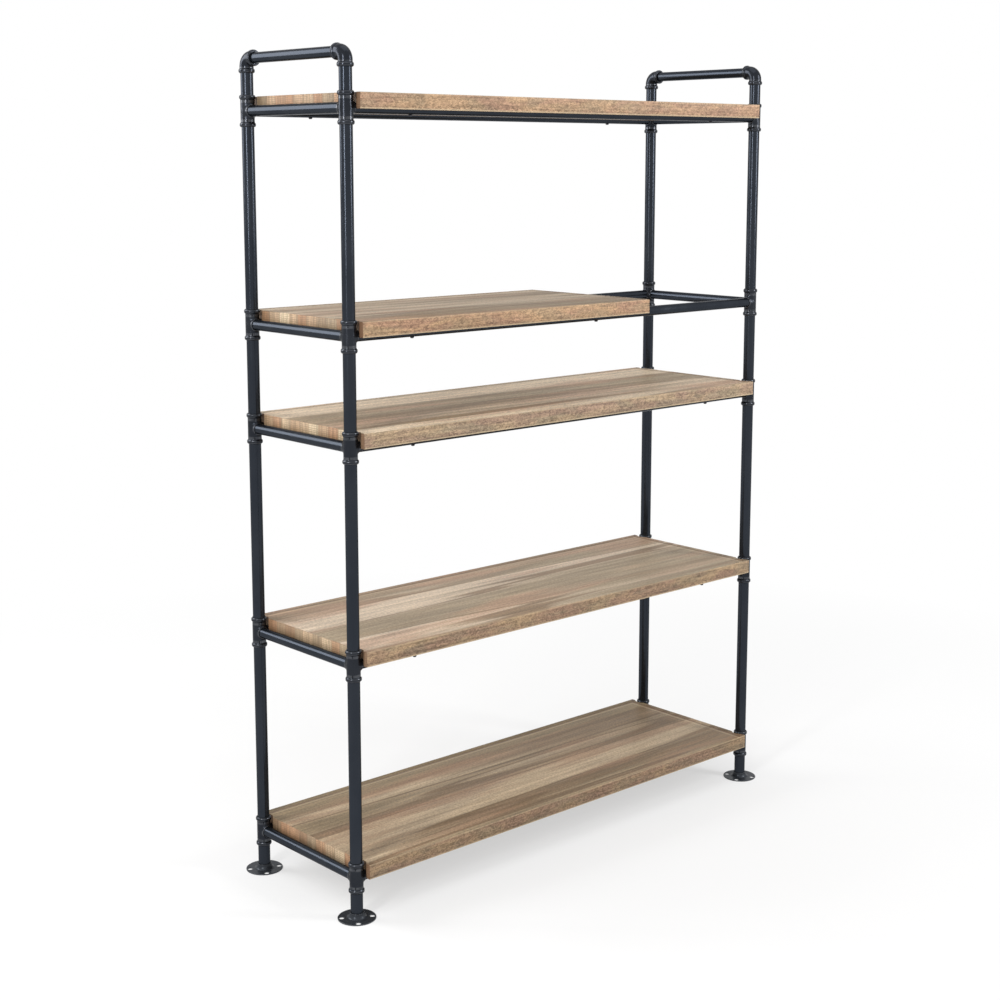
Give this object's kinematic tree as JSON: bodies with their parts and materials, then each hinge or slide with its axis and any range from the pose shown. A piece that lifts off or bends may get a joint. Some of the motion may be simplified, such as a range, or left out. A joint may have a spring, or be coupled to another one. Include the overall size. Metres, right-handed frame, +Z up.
{
  "type": "bookshelf",
  "caption": "Free-standing open bookshelf: metal pipe frame with cast tees and elbows on floor flanges, wooden boards on pipe rails, part-width board at an upper level.",
  "frame": {"origin": "on the floor, at the centre of the four feet", "axes": "+X along the boards to the viewer's right, +Y from the front rails to the back rails, +Z up"},
  "size_m": [1.341, 0.43, 1.8292],
  "materials": {
    "pipe": "satin dark slate coat on steel pipe",
    "cast_fitting": "satin dark slate coat on malleable castings",
    "oak": "light oak, matt lacquer",
    "screw_steel": "black oxide steel"
  },
  "bodies": {
    "root": {"back_rail_five": "pipe", "back_rail_four": "pipe", "back_rail_one": "pipe", "back_rail_three": "pipe", "back_rail_two": "pipe", "board_five": "oak", "board_four": "oak", "board_one": "oak", "board_screws": "screw_steel", "board_three": "oak", "board_two": "oak", "elbow_back_left": "cast_fitting", "elbow_back_right": "cast_fitting", "elbow_front_left": "cast_fitting", "elbow_front_right": "cast_fitting", "floor_flange_back_left": "cast_fitting", "floor_flange_back_right": "cast_fitting", "floor_flange_front_left": "cast_fitting", "floor_flange_front_right": "cast_fitting", "front_rail_five": "pipe", "front_rail_four": "pipe", "front_rail_one": "pipe", "front_rail_three": "pipe", "front_rail_two": "pipe", "handle_bar_left": "pipe", "handle_bar_right": "pipe", "post_back_left": "pipe", "post_back_right": "pipe", "post_front_left": "pipe", "post_front_right": "pipe", "side_bar_five_left": "pipe", "side_bar_five_right": "pipe", "side_bar_four_left": "pipe", "side_bar_four_right": "pipe", "side_bar_one_left": "pipe", "side_bar_one_right": "pipe", "side_bar_three_left": "pipe", "side_bar_three_right": "pipe", "side_bar_two_left": "pipe", "side_bar_two_right": "pipe", "tee_five_back_left": "cast_fitting", "tee_five_back_right": "cast_fitting", "tee_five_front_left": "cast_fitting", "tee_five_front_right": "cast_fitting", "tee_four_back_left": "cast_fitting", "tee_four_back_right": "cast_fitting", "tee_four_front_left": "cast_fitting", "tee_four_front_right": "cast_fitting", "tee_one_back_left": "cast_fitting", "tee_one_back_right": "cast_fitting", "tee_one_front_left": "cast_fitting", "tee_one_front_right": "cast_fitting", "tee_three_back_left": "cast_fitting", "tee_three_back_right": "cast_fitting", "tee_three_front_left": "cast_fitting", "tee_three_front_right": "cast_fitting", "tee_two_back_left": "cast_fitting", "tee_two_back_right": "cast_fitting", "tee_two_front_left": "cast_fitting", "tee_two_front_right": "cast_fitting"}
  },
  "joints": []
}
